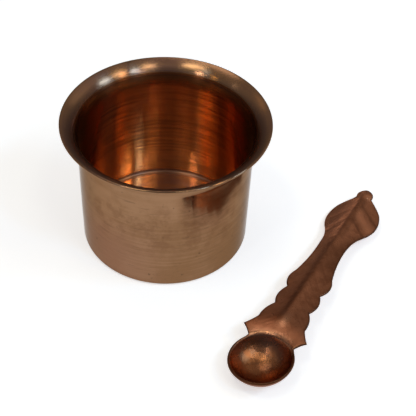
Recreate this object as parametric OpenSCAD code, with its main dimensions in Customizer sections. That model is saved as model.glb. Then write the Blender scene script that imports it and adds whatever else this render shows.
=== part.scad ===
// Copper panchpatra: a spun water cup with a flared lip, and the stamped spoon that goes with it.
// The origin is the centre of the cup's base on the table, and +Z is up.
// The spoon lies beside the cup on the same table, bowl to the front and leaf to the back.

/* [Cup] */
// Diameter across the lip
rim_d = 76; // [60:0.5:100]
// Height from the table to the top of the lip
cup_h = 53.6; // [40:0.5:75]
// Thickness of the cup's sheet
cup_sheet = 0.9; // [0.6:0.05:1.2]
// Outside radius of the corner between the wall and the base
foot_r = 1.8; // [1.4:0.1:6]
// Outward lean of the wall, in degrees
wall_a = 0.5; // [0:0.1:3]
// Radius of the arc from the wall to the lip's edge, on its underside
lip_r = 8.4; // [4:0.1:12]
// Lean of the lip away from the upright at its edge, in degrees
lip_a = 71; // [55:1:85]

/* [Spoon bowl] */
// Thickness of the spoon's sheet
spoon_sheet = 1.0; // [0.7:0.05:1.3]
// Radius of the bowl's open rim, at the middle of the sheet
bowl_r = 11.3; // [9:0.1:14]
// Steepness of the bowl's wall where its round bottom ends, in degrees
bowl_wall_a = 66; // [55:1:75]
// Steepness that is left at the bowl's open rim, in degrees
rim_wall_a = 40; // [20:1:50]
// Radius of the bend from the bowl's wall into the handle
shoulder_r = 1.5; // [1:0.1:2.5]
// Steepness at which the handle leaves the bend, in degrees
ease_a = 12; // [2:1:18]
// Length over which that steepness eases off
ease_l = 7; // [3:0.5:12]
// Half of the arc of the bowl that the handle takes up, in degrees
neck_arc = 48; // [35:1:55]

/* [Spoon handle lengths] */
// How far the tips of the ears lie behind the crown of the shoulder
ear_back = 0.8; // [0:0.1:1.5]
// From the tips of the ears to the start of the first scallop
ear_l = 5.4; // [3:0.1:9]
// Length of the first scallop
scallop1_l = 8.7; // [5:0.1:14]
// Length of the second scallop
scallop2_l = 10; // [5:0.1:14]
// Length of the third scallop
scallop3_l = 9.2; // [5:0.1:14]
// Length of the neck
neck_l = 22.3; // [12:0.1:32]
// Length over which the leaf opens
leaf_open_l = 7; // [4:0.1:12]
// Length of the leaf's belly
leaf_belly_l = 15; // [9:0.1:22]
// Length over which the leaf closes towards its bud
leaf_close_l = 5.9; // [4:0.1:10]
// Radius of the bud at the leaf's tip
bud_r = 3.3; // [2.6:0.1:4]

/* [Spoon handle half widths] */
// How far the tips of the ears stand out beyond the bowl's corners
ear_out = 3.4; // [1:0.1:5]
// Half width where the first scallop starts
scallop1_w = 8.9; // [7.5:0.1:11]
// Half width at the notch between the first and the second scallop
scallop2_w = 6.65; // [5:0.05:8.5]
// Half width at the notch between the second and the third scallop
scallop3_w = 6.5; // [5:0.05:8.5]
// Half width where the third scallop runs into the neck
neck_w = 7.3; // [5:0.1:9]
// Half width where the neck runs into the leaf
leaf_neck_w = 5.8; // [4:0.1:8]
// Half width at the front end of the leaf's belly
belly_front_w = 8.2; // [6.5:0.1:11]
// Half width at the back end of the leaf's belly
belly_back_w = 8.8; // [6.5:0.1:11]
// Half width at the corner between the leaf and its bud
bud_neck_w = 3.2; // [2.4:0.1:3.3]

/* [Spoon edge curves] */
// Hollow of the edge between a bowl corner and an ear
ear_hollow = 0.5; // [0:0.05:0.8]
// Hollow of the edge between an ear and the first scallop
ear_back_hollow = 0.2; // [0:0.05:0.8]
// Swell of the first scallop
scallop1_swell = 0.8; // [0.2:0.05:1.6]
// Swell of the second scallop
scallop2_swell = 1.4; // [0.2:0.05:2]
// Swell of the third scallop
scallop3_swell = 1.45; // [0.2:0.05:2]
// Hollow of the neck's edge
neck_hollow = 1; // [0:0.05:1.6]
// Hollow of the edge where the leaf opens
leaf_open_hollow = 0.3; // [0:0.05:0.8]
// Swell of the leaf's belly
leaf_belly_swell = 1.85; // [0.5:0.05:2.5]
// Swell of the edge where the leaf closes
leaf_close_swell = 0.35; // [0:0.05:0.8]

/* [Spoon relief] */
// Height of the leaf's tip above the table, at the middle of the sheet
tip_h = 4.6; // [3.6:0.1:6]
// Fall on each side of the handle's ridge, for each unit of width
ridge_fall = 0.2; // [0:0.01:0.24]
// Fall on each side of the leaf's midrib, for each unit of width
midrib_fall = 0.41; // [0.1:0.01:0.42]
// Radius that rounds the top of the ridge and the midrib
ridge_r = 0.8; // [0.6:0.1:2]
// How much of the fall is pinched close to the ridge
ridge_pinch = 0.7; // [0:0.05:0.8]
// How much of the fall is pinched close to the midrib
midrib_pinch = 0.35; // [0:0.05:0.4]
// Width over which the pinch fades
pinch_w = 2.6; // [2:0.1:4]

/* [Spoon place] */
// Place of the bowl's centre to the right of the cup's axis
spoon_x = 32.3; // [25:0.5:60]
// Place of the bowl's centre in front of the cup's axis
spoon_y = 70.5; // [60:0.5:100]
// Direction from the bowl to the leaf, in degrees from +X
spoon_turn = 60.5; // [45:0.1:75]
// Lean of the spoon on to the edge of its leaf, in degrees
spoon_lean = 7.3; // [4:0.1:9]

/* [Hidden] */

cup_copper = [0.58, 0.40, 0.28];
spoon_copper = [0.40, 0.24, 0.16];

// Steps of the arcs in the cup's section
foot_steps = 10;
lip_steps = 20;
lip_edge_steps = 10;

// Steps across the handle, round the open rim, up the bowl's round bottom and over its bend
across = 12;
open_steps = 32;
bottom_steps = 7;
bend_steps = 4;
// Steps along one curve of the edge, and round the bud
edge_steps = 7;
bud_steps = 5;

// Cup
rim_r = rim_d / 2;
// Middles of the arcs in the cup's section: the lip's rounded edge, the lip and the foot
edge_at = [rim_r - cup_sheet / 2, cup_h - cup_sheet / 2];
lip_at = edge_at + (lip_r + cup_sheet / 2) * [cos(lip_a), -sin(lip_a)];
wall_top = lip_at + lip_r * [-cos(wall_a), sin(wall_a)];
wall_l = (wall_top[1] - foot_r * (1 - sin(wall_a))) / cos(wall_a);
foot_at = wall_top - wall_l * [sin(wall_a), cos(wall_a)] + foot_r * [-cos(wall_a), sin(wall_a)];

// Bowl: a round bottom, then a bend that turns the sheet out into the rim and the handle
bottom_end_r = bowl_r - shoulder_r * (sin(bowl_wall_a) - sin(rim_wall_a));
ball_r = bottom_end_r / sin(bowl_wall_a);
ball_z = ball_r + spoon_sheet / 2;
shoulder_x = bottom_end_r + shoulder_r * (sin(bowl_wall_a) - sin(ease_a));
shoulder_z = ball_z - ball_r * cos(bowl_wall_a) + shoulder_r * (cos(ease_a) - cos(bowl_wall_a));
// The bend fades from the full turn behind the shoulder to the open rim's over this arc
fade_start = neck_arc - 9;
fade_arc = 18;

// Handle, from the crown of the shoulder to the bud
ear_x = shoulder_x - ear_back;
scallop1_x = ear_x + ear_l;
scallop2_x = scallop1_x + scallop1_l;
scallop3_x = scallop2_x + scallop2_l;
neck_x = scallop3_x + scallop3_l;
leaf_x = neck_x + neck_l;
belly_x = leaf_x + leaf_open_l;
close_x = belly_x + leaf_belly_l;
bud_neck_x = close_x + leaf_close_l;
bud_x = bud_neck_x + sqrt(max(0, bud_r * bud_r - bud_neck_w * bud_neck_w));
tip_x = bud_x + bud_r;
corner = bowl_point(neck_arc, cut_slope(neck_arc));

// The edge's curves: where each starts, its half width there and how far it swells to the next
edge = [
    [corner[0], corner[1], -ear_hollow],
    [ear_x, corner[1] + ear_out, -ear_back_hollow],
    [scallop1_x, scallop1_w, scallop1_swell],
    [scallop2_x, scallop2_w, scallop2_swell],
    [scallop3_x, scallop3_w, scallop3_swell],
    [neck_x, neck_w, -neck_hollow],
    [leaf_x, leaf_neck_w, -leaf_open_hollow],
    [belly_x, belly_front_w, leaf_belly_swell],
    [close_x, belly_back_w, leaf_close_swell],
    [bud_neck_x, bud_neck_w, 0]
];
curves = len(edge) - 1;
// Curves over which the rows straighten from the bowl's arc
ear_curves = 2;

function clamp01(t) = min(max(t, 0), 1);
function smooth(t) = clamp01(t) * clamp01(t) * (3 - 2 * clamp01(t));

// Slope at which the sheet is cut off, at an angle round the bowl from the handle
function cut_slope(angle) = ease_a + (rim_wall_a - ease_a) * smooth((abs(angle) - fade_start) / fade_arc);

// Middle of the bowl's round bottom at a slope, and of its bend at a slope
function bottom_point(angle, slope) = let (r = ball_r * sin(slope))
    [r * cos(angle), r * sin(angle), ball_z - ball_r * cos(slope)];
function bowl_point(angle, slope) =
    let (r = bottom_end_r + shoulder_r * (sin(bowl_wall_a) - sin(slope)))
    let (rise = shoulder_r * (cos(slope) - cos(bowl_wall_a)))
    [r * cos(angle), r * sin(angle), ball_z - ball_r * cos(bowl_wall_a) + rise];
function bowl_normal(angle, slope) = [-sin(slope) * cos(angle), -sin(slope) * sin(angle), cos(slope)];

// Height of the middle of the handle's sheet
function spine(x) = shoulder_z - (shoulder_z - tip_h) * pow(clamp01((x - shoulder_x) / (tip_x - shoulder_x)), 1.3);
function fall(x) = ridge_fall * smooth((x - ear_x) / (scallop3_x - ear_x))
    + (midrib_fall - ridge_fall) * smooth((x - leaf_x + leaf_open_l) / (2 * leaf_open_l));
// Rise of the handle as it leaves the bend, at a distance from the bowl's axis
function ease(r) = let (d = min(max(r - shoulder_x, 0), ease_l)) tan(ease_a) * (d - d * d / (2 * ease_l));
// How far the fall has gone at a distance from the ridge, of which a share is pinched close to it
function pinched(x, d) =
    let (share = ridge_pinch + (midrib_pinch - ridge_pinch) * smooth((x - leaf_x + leaf_open_l) / (2 * leaf_open_l)))
    let (whole = scallop1_w - ridge_r)
    d * (1 - share) + share * whole * (1 - exp(-d / pinch_w)) / (1 - exp(-whole / pinch_w));
function handle_z(x, y) = spine(x) + ease(sqrt(x * x + y * y))
    - fall(x) * pinched(x, sqrt(y * y + ridge_r * ridge_r) - ridge_r);
function handle_normal(x, y, d = 0.05) =
    let (along = (handle_z(x + d, y) - handle_z(x - d, y)) / (2 * d))
    let (over = (handle_z(x, y + d) - handle_z(x, y - d)) / (2 * d))
    [-along, -over, 1] / norm([-along, -over, 1]);

// A point on the bowed line from a to b
function bowed(a, b, t) =
    let (d = [b[0] - a[0], b[1] - a[1]])
    let (side = [-d[1], d[0]] / norm(d))
    [a[0], a[1]] + d * t + side * (4 * a[2] * t * (1 - t));

// A row of points across the handle: where its ends are, and how much of the bowl's arc it keeps
function row(end, arc) = [
    for (k = [0 : across])
    let (v = 2 * k / across - 1)
    let (bulge = (cos(v * neck_arc) - cos(neck_arc)) / (1 - cos(neck_arc)))
    let (x = end[0] + (shoulder_x - corner[0]) * arc * bulge)
    let (y = end[1] * (arc * sin(v * neck_arc) / sin(neck_arc) + (1 - arc) * v))
    [[x, y, handle_z(x, y)], handle_normal(x, y)]
];
handle_rows = [
    for (c = [0 : curves - 1])
    for (i = [0 : edge_steps - 1])
    let (t = i / edge_steps)
    if (c + i > 0)
    row(bowed(edge[c], edge[c + 1], t), max(0, 1 - (c + t) / ear_curves))
];
bud_start_a = atan2(bud_neck_w, bud_neck_x - bud_x);
bud_rows = [
    for (i = [0 : bud_steps - 1])
    let (a = bud_start_a * (1 - i / bud_steps))
    row([bud_x + bud_r * cos(a), bud_r * sin(a)], 0)
];
rows = concat(handle_rows, bud_rows);

// Angles round the bowl: first those that the handle takes up, then those of the open rim
open_arc = 360 - 2 * neck_arc;
angles = concat(
    [for (k = [0 : across]) neck_arc * (2 * k / across - 1)],
    [for (k = [1 : open_steps - 1]) neck_arc + open_arc * k / open_steps]
);
round = len(angles);
// Angle from the handle, between -180 and 180
function from_handle(a) = a > 180 ? a - 360 : a;
bowl_rings = concat(
    [for (i = [1 : bottom_steps]) let (s = bowl_wall_a * i / bottom_steps)
        for (a = angles) [bottom_point(a, s), bowl_normal(a, s)]],
    [for (i = [1 : bend_steps]) for (a = angles)
        let (s = bowl_wall_a + (cut_slope(from_handle(a)) - bowl_wall_a) * i / bend_steps)
        [bowl_point(a, s), bowl_normal(a, s)]]
);
rings = bottom_steps + bend_steps;

// The middle of the sheet: the bowl's bottom, its rings, the handle's rows and the tip
sheet = concat(
    [[bottom_point(0, 0), [0, 0, 1]]],
    bowl_rings,
    [for (r = rows) each r],
    [[[tip_x, 0, handle_z(tip_x, 0)], handle_normal(tip_x, 0)]]
);
points = len(sheet);
function ring_at(i, j) = 1 + i * round + j % round;
function row_at(i, k) = i < 0 ? ring_at(rings - 1, k) : 1 + rings * round + i * (across + 1) + k;
tip_at = points - 1;

function pair(a, b, c, d) = [[a, b, c], [a, c, d]];
upper_faces = concat(
    [for (j = [0 : round - 1]) [0, ring_at(0, j + 1), ring_at(0, j)]],
    [for (i = [0 : rings - 2]) for (j = [0 : round - 1])
        each pair(ring_at(i, j), ring_at(i, j + 1), ring_at(i + 1, j + 1), ring_at(i + 1, j))],
    [for (i = [-1 : len(rows) - 2]) for (k = [0 : across - 1])
        each pair(row_at(i, k), row_at(i, k + 1), row_at(i + 1, k + 1), row_at(i + 1, k))],
    [for (k = [0 : across - 1]) [row_at(len(rows) - 1, k), row_at(len(rows) - 1, k + 1), tip_at]]
);
lower_faces = [for (f = upper_faces) [f[2] + points, f[1] + points, f[0] + points]];

// The sheet's cut edge: the open rim, the handle's right side, the tip and its left side
loop = concat(
    [for (j = [across : round]) ring_at(rings - 1, j)],
    [for (i = [0 : len(rows) - 1]) row_at(i, 0)],
    [tip_at],
    [for (i = [len(rows) - 1 : -1 : 0]) row_at(i, across)]
);
edge_faces = [
    for (i = [0 : len(loop) - 1])
    let (a = loop[i], b = loop[(i + 1) % len(loop)])
    each pair(a, b, b + points, a + points)
];
skin = concat(
    [for (p = sheet) p[0] + p[1] * spoon_sheet / 2],
    [for (p = sheet) p[0] - p[1] * spoon_sheet / 2]
);
// Lowest point of the leaning spoon, which stands on the table
lowest = min([for (p = skin) ball_z + (p[2] - ball_z) * cos(spoon_lean) - p[1] * sin(spoon_lean)]);

// Points of an arc after its start, which the stretch before it has given
function arc_points(centre, r, a0, a1, steps) = [
    for (i = [1 : steps])
    let (a = a0 + (a1 - a0) * i / steps)
    centre + r * [cos(a), sin(a)]
];

// Half of the cup's section in one outline: up the outside, over the lip's edge and down the inside.
// Each straight stretch joins the end of one arc to the start of the next.
module cup_profile() {
    polygon(concat(
        [[0, 0], [foot_at[0], 0]],
        arc_points(foot_at, foot_r, -90, -wall_a, foot_steps),
        [wall_top],
        arc_points(lip_at, lip_r, 180 - wall_a, 180 - lip_a, lip_steps),
        arc_points(edge_at, cup_sheet / 2, -lip_a, 180 - lip_a, lip_edge_steps),
        arc_points(lip_at, lip_r + cup_sheet, 180 - lip_a, 180 - wall_a, lip_steps),
        [foot_at + (foot_r - cup_sheet) * [cos(wall_a), -sin(wall_a)]],
        arc_points(foot_at, foot_r - cup_sheet, -wall_a, -90, foot_steps),
        [[0, cup_sheet]]
    ));
}

module cup() {
    color(cup_copper)
        rotate_extrude($fn = 144)
        cup_profile();
}

module spoon() {
    color(spoon_copper)
        translate([spoon_x, -spoon_y, ball_z - lowest])
        rotate([0, 0, spoon_turn])
        rotate([-spoon_lean, 0, 0])
        translate([0, 0, -ball_z])
        polyhedron(skin, concat(upper_faces, edge_faces, lower_faces), convexity = 6);
}

cup();
spoon();
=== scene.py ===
import math

import bpy
import numpy as np
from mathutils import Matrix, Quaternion, Vector


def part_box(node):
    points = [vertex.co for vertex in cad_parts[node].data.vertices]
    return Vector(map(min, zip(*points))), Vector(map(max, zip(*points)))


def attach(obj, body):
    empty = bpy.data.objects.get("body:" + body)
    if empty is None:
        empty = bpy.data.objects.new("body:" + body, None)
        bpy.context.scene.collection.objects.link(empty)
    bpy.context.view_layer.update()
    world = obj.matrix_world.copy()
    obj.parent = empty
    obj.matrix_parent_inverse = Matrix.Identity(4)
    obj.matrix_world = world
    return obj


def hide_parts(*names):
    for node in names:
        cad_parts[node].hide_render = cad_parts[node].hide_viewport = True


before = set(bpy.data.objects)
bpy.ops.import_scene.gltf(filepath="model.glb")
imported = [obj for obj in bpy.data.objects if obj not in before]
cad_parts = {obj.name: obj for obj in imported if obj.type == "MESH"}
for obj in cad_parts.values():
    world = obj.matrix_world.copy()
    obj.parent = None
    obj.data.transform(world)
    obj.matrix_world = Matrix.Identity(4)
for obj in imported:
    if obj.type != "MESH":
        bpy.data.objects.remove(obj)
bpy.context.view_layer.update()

# Lengths of the cup and the spoon are in millimetres until the mesh is made
MM = 0.001

# Cup: the lip's radius and the height come from the frame
cup_low, cup_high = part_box("cup")
RIM_R = (cup_high.x - cup_low.x) / 2 / MM
CUP_H = cup_high.z / MM
CUP_SHEET = 0.9
FOOT_R = 1.8
WALL_A = math.radians(0.5)
LIP_R = 8.4
LIP_A = math.radians(71)
CUP_AROUND = 240
# Zones on the lip's curve, as angles up from the wall: the polish ends in a thin dark line, then a brow,
# both painted shade
LIP_LOW_A = math.radians(38)
LIP_LINE_A = math.radians(34)
LIP_LOWER_A = math.radians(28)
BROW_END_A = math.radians(11)
# How far the lip's polish goes over its rounded edge, and how far the dark corner of painted shade goes up
# the wall and over the floor
EDGE_POLISH_A = math.radians(100)
DARK_CORNER_H = 0.8
DARK_CORNER_L = 1.5
# How a spun sheet wanders from true round: an oval that grows towards the lip
CUP_OVAL = 0.09
CUP_OVAL_START = 0.7
# Dents: size, turns, change with height, start. Waves: size, change with height, start
CUP_DENTS = ((0.03, 3, 0.11, 1.9), (0.02, 5, -0.17, 0.0))
CUP_WAVES = ((0.004, 1.31, 0.4), (0.006, 0.43, 1.7))
# Dents and waves are full from this height, and all the wander from this radius
UNEVEN_H = 6.0
UNEVEN_R = 32.0
# Shallow turned grooves in the cup's floor: radius and depth
FLOOR_GROOVES = ((26.4, 0.020), (23.6, 0.020), (18.5, 0.015), (11.0, 0.02), (5.2, 0.03))
GROOVE_W = 0.55
# Zones of the cup's copper, kept as numbers on its points; the fourth is painted shade on the lip's dark
# line and in the inside corner, the fifth is painted shade on the brow
OUTSIDE = (0.0, 0.0, 0.0, 0.0, 0.0)
LIP = (0.0, 1.0, 0.0, 0.0, 0.0)
LIP_LINE = (1.0, 0.0, 0.0, 0.4, 1.0)
BROW = (1.0, 0.0, 0.0, 0.0, 1.0)
INSIDE = (1.0, 0.0, 0.0, 0.0, 0.0)
CORNER = (1.0, 0.0, 0.3, 0.6, 0.0)
BOTTOM = (1.0, 0.0, 1.0, 0.0, 0.0)
ZONES = ("inside", "lip", "bottom", "painted_shade", "brow")

# Spoon's bowl and shoulder
SPOON_SHEET = 1.0
BOWL_R = 11.3
BOWL_WALL_A = math.radians(66)
RIM_WALL_A = math.radians(40)
SHOULDER_R = 1.5
EASE_A = math.radians(12)
EASE_L = 7.0
NECK_ARC = math.radians(48)
FADE_START = NECK_ARC - math.radians(9)
FADE_ARC = math.radians(18)

# Spoon's handle: lengths along it
EAR_BACK = 0.8
EAR_L = 5.4
SCALLOP1_L = 8.7
SCALLOP2_L = 10.0
SCALLOP3_L = 9.2
NECK_L = 22.3
LEAF_OPEN_L = 7.0
LEAF_BELLY_L = 15.0
LEAF_CLOSE_L = 5.9
BUD_R = 3.3
BUD_NECK_W = 3.2
EAR_OUT = 3.4
SCALLOP1_W = 8.9

# Spoon's relief and its place beside the cup
TIP_H = 4.6
RIDGE_FALL = 0.2
MIDRIB_FALL = 0.41
RIDGE_R = 0.8
RIDGE_PINCH = 0.7
MIDRIB_PINCH = 0.35
PINCH_W = 2.6
SPOON_X = 32.3
SPOON_Y = -70.5
SPOON_TURN = math.radians(60.5)
SPOON_LEAN = math.radians(7.3)
SPINE_BOW = 1.3
EDGE_ROUND = 0.46
# Width of the darkened cut edge, and how much of the bowl's bend still counts as bowl
EDGE_DARK_W = 0.5
BOWL_FADE = 0.3
# Bud: a low dome, and how much flatter than the leaf its sides are
BUD_DOME = 0.35
DOME_R = 0.6 * BUD_R
BUD_FLAT = 0.6
BUD_FLAT_BACK = 1.5
BUD_FLAT_L = 3.0
# Swell where the ridge starts, past the first scallop's corner
SWELL = 0.35
SWELL_R = 3.4
SWELL_ON = 2.5
# Numbers kept on the spoon's points: nearness of the cut edge, place on the sheet, bowl, underside
SPOON_MARKS = ("edge", "along", "over", "bowl", "under")

# Bowl: a round bottom, then a bend that turns the sheet out into the rim and the handle
BOTTOM_END_R = BOWL_R - SHOULDER_R * (math.sin(BOWL_WALL_A) - math.sin(RIM_WALL_A))
BALL_R = BOTTOM_END_R / math.sin(BOWL_WALL_A)
BALL_Z = BALL_R + SPOON_SHEET / 2
SHOULDER_X = BOTTOM_END_R + SHOULDER_R * (math.sin(BOWL_WALL_A) - math.sin(EASE_A))
SHOULDER_RISE = SHOULDER_R * (math.cos(EASE_A) - math.cos(BOWL_WALL_A))
SHOULDER_Z = BALL_Z - BALL_R * math.cos(BOWL_WALL_A) + SHOULDER_RISE

# Handle stations from the shoulder's crown to the bud
EAR_X = SHOULDER_X - EAR_BACK
SCALLOP1_X = EAR_X + EAR_L
SCALLOP2_X = SCALLOP1_X + SCALLOP1_L
SCALLOP3_X = SCALLOP2_X + SCALLOP2_L
NECK_X = SCALLOP3_X + SCALLOP3_L
LEAF_X = NECK_X + NECK_L
BELLY_X = LEAF_X + LEAF_OPEN_L
CLOSE_X = BELLY_X + LEAF_BELLY_L
BUD_NECK_X = CLOSE_X + LEAF_CLOSE_L
BUD_X = BUD_NECK_X + math.sqrt(BUD_R**2 - BUD_NECK_W**2)
TIP_X = BUD_X + BUD_R


def smooth(t):
    t = min(max(t, 0.0), 1.0)
    return t * t * (3 - 2 * t)


def ramp(value, start, full):
    """Nothing up to the start, all from the full end on, and smooth between them."""
    return smooth((value - start) / (full - start))


def mesh_piece(name, points, faces):
    """A smooth-shaded object from points in millimetres."""
    mesh = bpy.data.meshes.new(name)
    mesh.from_pydata([(x * MM, y * MM, z * MM) for x, y, z in points], [], faces)
    mesh.validate()
    mesh.shade_smooth()
    piece = bpy.data.objects.new(name, mesh)
    bpy.context.scene.collection.objects.link(piece)
    return piece


def mark_points(piece, name, values):
    """Keeps one number for each point, which the materials read by name."""
    layer = piece.data.attributes.new(name, "FLOAT", "POINT")
    layer.data.foreach_set("value", np.asarray(values, np.float32))


# The cup's section


def bend(centre_r, centre_z, radius, start, end, steps):
    angles = np.linspace(start, end, steps + 1)
    return [(centre_r + radius * math.cos(a), centre_z + radius * math.sin(a)) for a in angles]


def straight(start, end, steps):
    return [
        (start[0] + (end[0] - start[0]) * t, start[1] + (end[1] - start[1]) * t)
        for t in np.linspace(0, 1, steps + 1)
    ]


def groove_depth(r):
    """How deep the turned grooves of the cup's floor are at a radius."""
    return sum(depth * math.exp(-(((r - at) / GROOVE_W) ** 2)) for at, depth in FLOOR_GROOVES)


def cup_section():
    """Radius, height and zone of each ring, from under the base over the lip to the floor."""
    half = CUP_SHEET / 2
    edge_x = RIM_R - half
    edge_z = CUP_H - half
    lip_x = edge_x + (LIP_R + half) * math.cos(LIP_A)
    lip_z = edge_z - (LIP_R + half) * math.sin(LIP_A)
    top = (lip_x - LIP_R * math.cos(WALL_A), lip_z + LIP_R * math.sin(WALL_A))
    length = (top[1] - FOOT_R * (1 - math.sin(WALL_A))) / math.cos(WALL_A)
    foot_x = top[0] - length * math.sin(WALL_A) - FOOT_R * math.cos(WALL_A)
    inner_r = FOOT_R - CUP_SHEET
    lip_in = LIP_R + CUP_SHEET
    wall_start = math.pi - WALL_A
    lip_end = math.pi - LIP_A
    edge_top = lip_end - EDGE_POLISH_A
    lip_low = math.pi - LIP_LOW_A
    lip_line = math.pi - LIP_LINE_A
    lip_lower = math.pi - LIP_LOWER_A
    brow_end = math.pi - BROW_END_A
    inside_foot = bend(foot_x, FOOT_R, inner_r, -WALL_A, -math.pi / 2, 8)
    inside_top = bend(lip_x, lip_z, lip_in, brow_end, wall_start, 6)
    dark_corner_top = (inside_foot[0][0] + DARK_CORNER_H * math.sin(WALL_A), inside_foot[0][1] + DARK_CORNER_H)
    floor_start = (foot_x - DARK_CORNER_L, CUP_SHEET)
    # Each stretch of the section, with the zones at its start and end
    stretches = (
        (OUTSIDE, OUTSIDE, straight((0.0, 0.0), (foot_x, 0.0), 14)),
        (OUTSIDE, OUTSIDE, bend(foot_x, FOOT_R, FOOT_R, -math.pi / 2, -WALL_A, 10)),
        (OUTSIDE, OUTSIDE, straight((foot_x + FOOT_R, FOOT_R), top, 96)),
        (OUTSIDE, OUTSIDE, bend(lip_x, lip_z, LIP_R, wall_start, lip_end, 28)),
        (OUTSIDE, OUTSIDE, bend(edge_x, edge_z, half, lip_end - math.pi, edge_top, 5)),
        (OUTSIDE, LIP, bend(edge_x, edge_z, half, edge_top, lip_end, 7)),
        (LIP, LIP, bend(lip_x, lip_z, lip_in, lip_end, lip_low, 22)),
        (LIP, LIP_LINE, bend(lip_x, lip_z, lip_in, lip_low, lip_line, 5)),
        (LIP_LINE, BROW, bend(lip_x, lip_z, lip_in, lip_line, lip_lower, 6)),
        (BROW, INSIDE, bend(lip_x, lip_z, lip_in, lip_lower, brow_end, 10)),
        (INSIDE, INSIDE, inside_top),
        (INSIDE, INSIDE, straight(inside_top[-1], dark_corner_top, 92)),
        (INSIDE, CORNER, straight(dark_corner_top, inside_foot[0], 6)),
        (CORNER, CORNER, inside_foot),
        (CORNER, BOTTOM, straight((foot_x, CUP_SHEET), floor_start, 6)),
        (BOTTOM, BOTTOM, straight(floor_start, (0.0, CUP_SHEET), 114)),
    )
    rings = []
    for start, end, points in stretches:
        on_floor = points[-1][1] == CUP_SHEET and points[0][1] == CUP_SHEET
        for i in range(len(points)):
            r, z = points[i]
            if rings and math.hypot(r - rings[-1][0], z - rings[-1][1]) < 1e-4:
                continue
            depth = groove_depth(r) if on_floor else 0.0
            share = i / (len(points) - 1)
            zone = tuple(a + (b - a) * share for a, b in zip(start, end))
            rings.append((r, z - depth, zone))
    return rings


def cup_unevenness(angle, height):
    """How far a spun sheet wanders from true round, the same inside and outside."""
    lift = smooth(height / CUP_H)
    oval = CUP_OVAL * math.sin(2 * angle + CUP_OVAL_START) * lift
    uneven = 0.0
    for size, turns, climb, start in CUP_DENTS:
        uneven += size * math.sin(turns * angle + climb * height + start)
    for size, climb, start in CUP_WAVES:
        uneven += size * math.sin(climb * height + start)
    return oval + uneven * smooth(height / UNEVEN_H)


def build_cup():
    rings = cup_section()
    points = [(0.0, 0.0, rings[0][1])]
    zones = [rings[0][2]]
    for r, z, zone in rings[1:-1]:
        for k in range(CUP_AROUND):
            a = 2 * math.pi * k / CUP_AROUND
            reach = r + cup_unevenness(a, z) * min(1.0, r / UNEVEN_R)
            points.append((reach * math.cos(a), reach * math.sin(a), z))
            zones.append(zone)
    points.append((0.0, 0.0, rings[-1][1]))
    zones.append(rings[-1][2])
    last = len(points) - 1

    def at(ring, k):
        return 1 + ring * CUP_AROUND + k % CUP_AROUND

    end = len(rings) - 3
    faces = [(0, at(0, k + 1), at(0, k)) for k in range(CUP_AROUND)]
    for ring in range(end):
        for k in range(CUP_AROUND):
            faces.append((at(ring, k), at(ring, k + 1), at(ring + 1, k + 1), at(ring + 1, k)))
    faces += [(last, at(end, k), at(end, k + 1)) for k in range(CUP_AROUND)]
    piece = mesh_piece("spun_cup", points, faces)
    for name, values in zip(ZONES, zip(*zones)):
        mark_points(piece, name, values)
    return piece


# The spoon's sheet


def cut_slope(angle):
    """Slope at which the sheet is cut off, at an angle round the bowl from the handle."""
    return EASE_A + (RIM_WALL_A - EASE_A) * smooth((abs(angle) - FADE_START) / FADE_ARC)


def bottom_point(angle, slope):
    r = BALL_R * math.sin(slope)
    return (r * math.cos(angle), r * math.sin(angle), BALL_Z - BALL_R * math.cos(slope))


def bowl_point(angle, slope):
    r = BOTTOM_END_R + SHOULDER_R * (math.sin(BOWL_WALL_A) - math.sin(slope))
    rise = SHOULDER_R * (math.cos(slope) - math.cos(BOWL_WALL_A))
    return (r * math.cos(angle), r * math.sin(angle), BALL_Z - BALL_R * math.cos(BOWL_WALL_A) + rise)


def bowl_normal(angle, slope):
    return (
        -math.sin(slope) * math.cos(angle),
        -math.sin(slope) * math.sin(angle),
        math.cos(slope),
    )


BOWL_CORNER = bowl_point(NECK_ARC, cut_slope(NECK_ARC))
# The edge's curves: where each starts, its half width there and how far it swells to the next
EDGE = (
    (BOWL_CORNER[0], BOWL_CORNER[1], -0.2),
    (EAR_X, BOWL_CORNER[1] + EAR_OUT, -0.2),
    (SCALLOP1_X, SCALLOP1_W, 0.8),
    (SCALLOP2_X, 6.65, 1.4),
    (SCALLOP3_X, 6.5, 1.45),
    (NECK_X, 7.3, -1.0),
    (LEAF_X, 5.8, -0.3),
    (BELLY_X, 8.2, 1.85),
    (CLOSE_X, 8.8, 0.35),
    (BUD_NECK_X, BUD_NECK_W, 0.0),
)
EAR_CURVES = 2

# Pressed creases of the leaf and the scallops, mirrored about the midrib: start, end, height, width
CREASES = (
    ((LEAF_X + 3.0, 6.6), (LEAF_X + 13.0, 1.6), 0.15, 0.8),
    ((BELLY_X + 4.0, 8.6), (BELLY_X + 13.0, 2.2), 0.11, 0.9),
    ((SCALLOP3_X + 2.0, 7.2), (SCALLOP3_X + 9.0, 1.8), 0.06, 0.9),
    ((SCALLOP2_X + 2.0, 7.2), (SCALLOP2_X + 8.5, 1.8), 0.05, 0.9),
)
# Shares of a crease's length where it fades in and where it has faded out
CREASE_START = (-0.25, 0.25)
CREASE_END = (1.25, 0.65)


def crease_height(x, y):
    """Height of the pressed creases at a place on the handle."""
    total = 0.0
    for (x0, y0), (x1, y1), height, width in CREASES:
        dx = x1 - x0
        dy = y1 - y0
        length = math.hypot(dx, dy)
        along = ((x - x0) * dx + (abs(y) - y0) * dy) / length**2
        off = ((x - x0) * dy - (abs(y) - y0) * dx) / length
        fade = ramp(along, *CREASE_START) * ramp(along, *CREASE_END)
        total += height * fade * math.exp(-((off / width) ** 2))
    return total


def spine(x):
    along = min(max((x - SHOULDER_X) / (TIP_X - SHOULDER_X), 0.0), 1.0)
    return SHOULDER_Z - (SHOULDER_Z - TIP_H) * along**SPINE_BOW


def fall(x):
    ridge = RIDGE_FALL * smooth((x - EAR_X) / (SCALLOP3_X - EAR_X))
    leaf = smooth((x - LEAF_X + LEAF_OPEN_L) / (2 * LEAF_OPEN_L))
    return ridge + (MIDRIB_FALL - RIDGE_FALL) * leaf


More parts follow.
